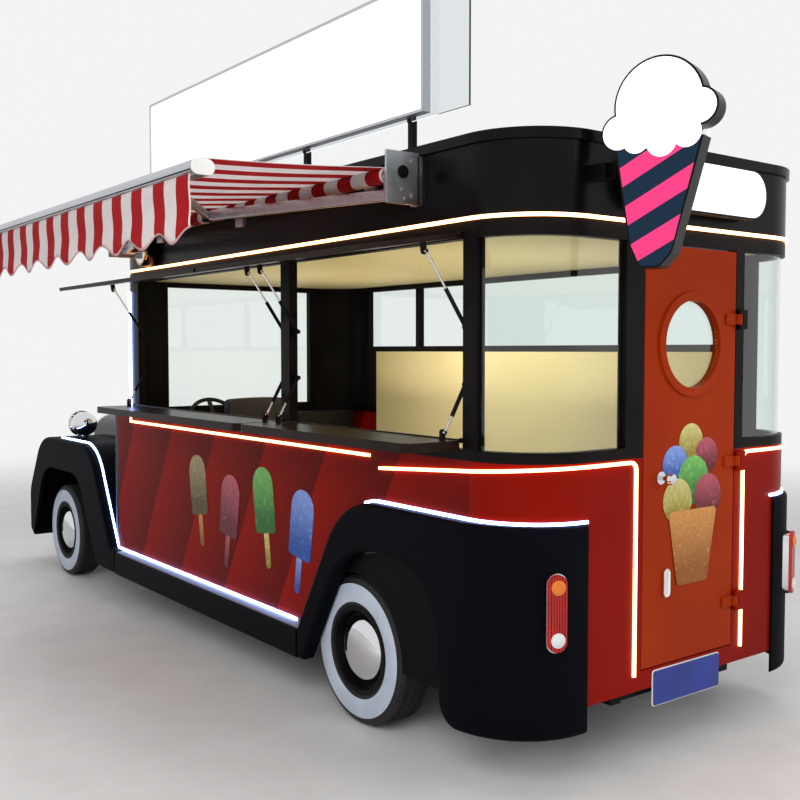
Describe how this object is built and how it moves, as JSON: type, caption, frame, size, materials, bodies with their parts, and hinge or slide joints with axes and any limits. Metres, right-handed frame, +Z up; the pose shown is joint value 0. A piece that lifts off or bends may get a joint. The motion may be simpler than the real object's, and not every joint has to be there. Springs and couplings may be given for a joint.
{
  "type": "ice cream truck",
  "caption": "Small ice cream truck with a bus-shaped body, serving side with top flaps and counter shelves, side awning, round nose fenders and roof signs.",
  "frame": {"origin": "middle of the bounding box's footprint, on the ground", "axes": "+X forward, +Y to the left, the serving side, +Z up"},
  "size_m": [6.475, 2.997, 3.4399],
  "materials": {
    "black_steel": "satin",
    "floor_sheet": "satin",
    "battery_case": "satin",
    "red_paint": "gloss",
    "black_paint": "gloss",
    "brown_frame": "satin",
    "glass": "gloss",
    "warm_light": "gloss",
    "cool_light": "gloss",
    "chrome": "polished",
    "lamp_plastic": "gloss",
    "silver_aluminium": "satin",
    "plate_blue": "gloss",
    "awning_cloth": "woven",
    "clear_sign": "gloss",
    "white_sign": "gloss",
    "cream_lining": "satin",
    "seat_cover": "satin",
    "dash_plastic": "matte",
    "tyre": "matte",
    "dark_panel": "satin"
  },
  "bodies": {
    "truck": {"chassis_frame": "black_steel", "axles": "black_steel", "floor_pan": "floor_sheet", "battery_block": "battery_case", "side_panels": "red_paint", "rear_panels": "red_paint", "cowl": "black_paint", "left_frame": "brown_frame", "right_frame": "brown_frame", "end_frames": "brown_frame", "corner_glass": "glass", "window_glass": "glass", "roof_deck": "brown_frame", "parapet": "brown_frame", "warm_lights": "warm_light", "cool_lights": "cool_light", "rear_fenders": "black_paint", "front_fenders": "black_paint", "running_boards": "black_paint", "hood": "black_paint", "front_trim": "chrome", "front_lamps": "chrome", "tail_lamps": "lamp_plastic", "number_plate": "plate_blue", "awning_frame": "silver_aluminium", "awning_cloth": "awning_cloth", "sign_board": "clear_sign", "sign_posts": "black_steel", "roof_sign": "white_sign", "rear_signs": "white_sign", "inner_panels": "cream_lining", "driver_seat": "seat_cover", "dashboard": "dash_plastic"},
    "door": {"door": "red_paint", "door_glass": "glass", "door_fittings": "chrome"},
    "knuckle_left": {"knuckle_left": "black_steel"},
    "knuckle_right": {"knuckle_right": "black_steel"},
    "steering_wheel": {"steering_wheel": "dash_plastic"},
    "wheel_rear_left": {"tyre_rear_left": "tyre", "rim_rear_left": "chrome"},
    "wheel_rear_right": {"tyre_rear_right": "tyre", "rim_rear_right": "chrome"},
    "wheel_front_left": {"tyre_front_left": "tyre", "rim_front_left": "chrome"},
    "wheel_front_right": {"tyre_front_right": "tyre", "rim_front_right": "chrome"},
    "flap_rear": {"flap_rear": "dark_panel"},
    "shelf_rear": {"shelf_rear": "dark_panel"},
    "flap_tubes_rear": {"flap_tubes_rear": "black_steel"},
    "flap_rods_rear": {"flap_rods_rear": "chrome"},
    "shelf_tubes_rear": {"shelf_tubes_rear": "black_steel"},
    "shelf_rods_rear": {"shelf_rods_rear": "chrome"},
    "flap_front": {"flap_front": "dark_panel"},
    "shelf_front": {"shelf_front": "dark_panel"},
    "flap_tubes_front": {"flap_tubes_front": "black_steel"},
    "flap_rods_front": {"flap_rods_front": "chrome"},
    "shelf_tubes_front": {"shelf_tubes_front": "black_steel"},
    "shelf_rods_front": {"shelf_rods_front": "chrome"}
  },
  "joints": [
    {"name": "door_hinge", "type": "hinge", "parent": "truck", "child": "door", "pos_m": [-2.73847, -0.8085, 1.29], "axis": [0, 0, 1], "range_deg": [0, 100]},
    {"name": "steer_left", "type": "hinge", "parent": "truck", "child": "knuckle_left", "pos_m": [2.54353, 0.2915, 0.361], "axis": [0, 0, 1], "range_deg": [-30, 30]},
    {"name": "roll_front_left", "type": "hinge", "parent": "knuckle_left", "child": "wheel_front_left", "pos_m": [2.54353, 0.4115, 0.361], "axis": [0, 1, 0], "continuous": true},
    {"name": "roll_rear_left", "type": "hinge", "parent": "truck", "child": "wheel_rear_left", "pos_m": [-1.55747, 0.4115, 0.361], "axis": [0, 1, 0], "continuous": true},
    {"name": "steer_right", "type": "hinge", "parent": "truck", "child": "knuckle_right", "pos_m": [2.54353, -1.1925, 0.361], "axis": [0, 0, 1], "range_deg": [-30, 30]},
    {"name": "roll_front_right", "type": "hinge", "parent": "knuckle_right", "child": "wheel_front_right", "pos_m": [2.54353, -1.3125, 0.361], "axis": [0, 1, 0], "continuous": true},
    {"name": "roll_rear_right", "type": "hinge", "parent": "truck", "child": "wheel_rear_right", "pos_m": [-1.55747, -1.3125, 0.361], "axis": [0, 1, 0], "continuous": true},
    {"name": "steering_turn", "type": "hinge", "parent": "truck", "child": "steering_wheel", "pos_m": [1.03753, -0.0655, 1.29], "axis": [-0.8192, 0, 0.5736], "range_deg": [-450, 450]},
    {"name": "flap_rear_hinge", "type": "hinge", "parent": "truck", "child": "flap_rear", "pos_m": [-1.63797, 0.5395, 2.268], "axis": [-1, 0, 0], "range_deg": [0, 81]},
    {"name": "shelf_rear_hinge", "type": "hinge", "parent": "truck", "child": "shelf_rear", "pos_m": [-1.63797, 0.5355, 1.428], "axis": [1, 0, 0], "range_deg": [0, 90]},
    {"name": "flap_tubes_rear_foot", "type": "hinge", "parent": "truck", "child": "flap_tubes_rear", "pos_m": [-1.65647, 0.4875, 1.895], "axis": [1, 0, 0], "range_deg": [0, 33.08]},
    {"name": "flap_rods_rear_slide", "type": "slide", "parent": "flap_tubes_rear", "child": "flap_rods_rear", "axis": [0, -0.5691, -0.8222], "range_m": [0, 0.15991]},
    {"name": "shelf_tubes_rear_foot", "type": "hinge", "parent": "truck", "child": "shelf_tubes_rear", "pos_m": [-1.65647, 0.4875, 1.657], "axis": [-1, 0, 0], "range_deg": [0, 24.68]},
    {"name": "shelf_rods_rear_slide", "type": "slide", "parent": "shelf_tubes_rear", "child": "shelf_rods_rear", "axis": [0, -0.4913, 0.871], "range_m": [0, 0.0565]},
    {"name": "flap_front_hinge", "type": "hinge", "parent": "truck", "child": "flap_front", "pos_m": [0.06703, 0.5395, 2.268], "axis": [-1, 0, 0], "range_deg": [0, 81]},
    {"name": "shelf_front_hinge", "type": "hinge", "parent": "truck", "child": "shelf_front", "pos_m": [0.06703, 0.5355, 1.428], "axis": [1, 0, 0], "range_deg": [0, 90]},
    {"name": "flap_tubes_front_foot", "type": "hinge", "parent": "truck", "child": "flap_tubes_front", "pos_m": [0.05753, 0.4875, 1.895], "axis": [1, 0, 0], "range_deg": [0, 33.08]},
    {"name": "flap_rods_front_slide", "type": "slide", "parent": "flap_tubes_front", "child": "flap_rods_front", "axis": [0, -0.5691, -0.8222], "range_m": [0, 0.15991]},
    {"name": "shelf_tubes_front_foot", "type": "hinge", "parent": "truck", "child": "shelf_tubes_front", "pos_m": [0.05753, 0.4875, 1.657], "axis": [-1, 0, 0], "range_deg": [0, 24.68]},
    {"name": "shelf_rods_front_slide", "type": "slide", "parent": "shelf_tubes_front", "child": "shelf_rods_front", "axis": [0, -0.4913, 0.871], "range_m": [0, 0.0565]}
  ],
  "couplings": [
    {"joint": "steer_right", "follows": "steer_left", "ratio": 1},
    {"joint": "steering_turn", "follows": "steer_left", "ratio": 15},
    {"joint": "flap_tubes_rear_foot", "follows": "flap_rear_hinge", "ratio": 0.40778},
    {"joint": "flap_rods_rear_slide", "follows": "flap_rear_hinge", "m_per_rad": 0.11297},
    {"joint": "shelf_tubes_rear_foot", "follows": "shelf_rear_hinge", "ratio": 0.27373},
    {"joint": "shelf_rods_rear_slide", "follows": "shelf_rear_hinge", "m_per_rad": 0.035842},
    {"joint": "flap_tubes_front_foot", "follows": "flap_front_hinge", "ratio": 0.40778},
    {"joint": "flap_rods_front_slide", "follows": "flap_front_hinge", "m_per_rad": 0.11297},
    {"joint": "shelf_tubes_front_foot", "follows": "shelf_front_hinge", "ratio": 0.27373},
    {"joint": "shelf_rods_front_slide", "follows": "shelf_front_hinge", "m_per_rad": 0.035842}
  ]
}
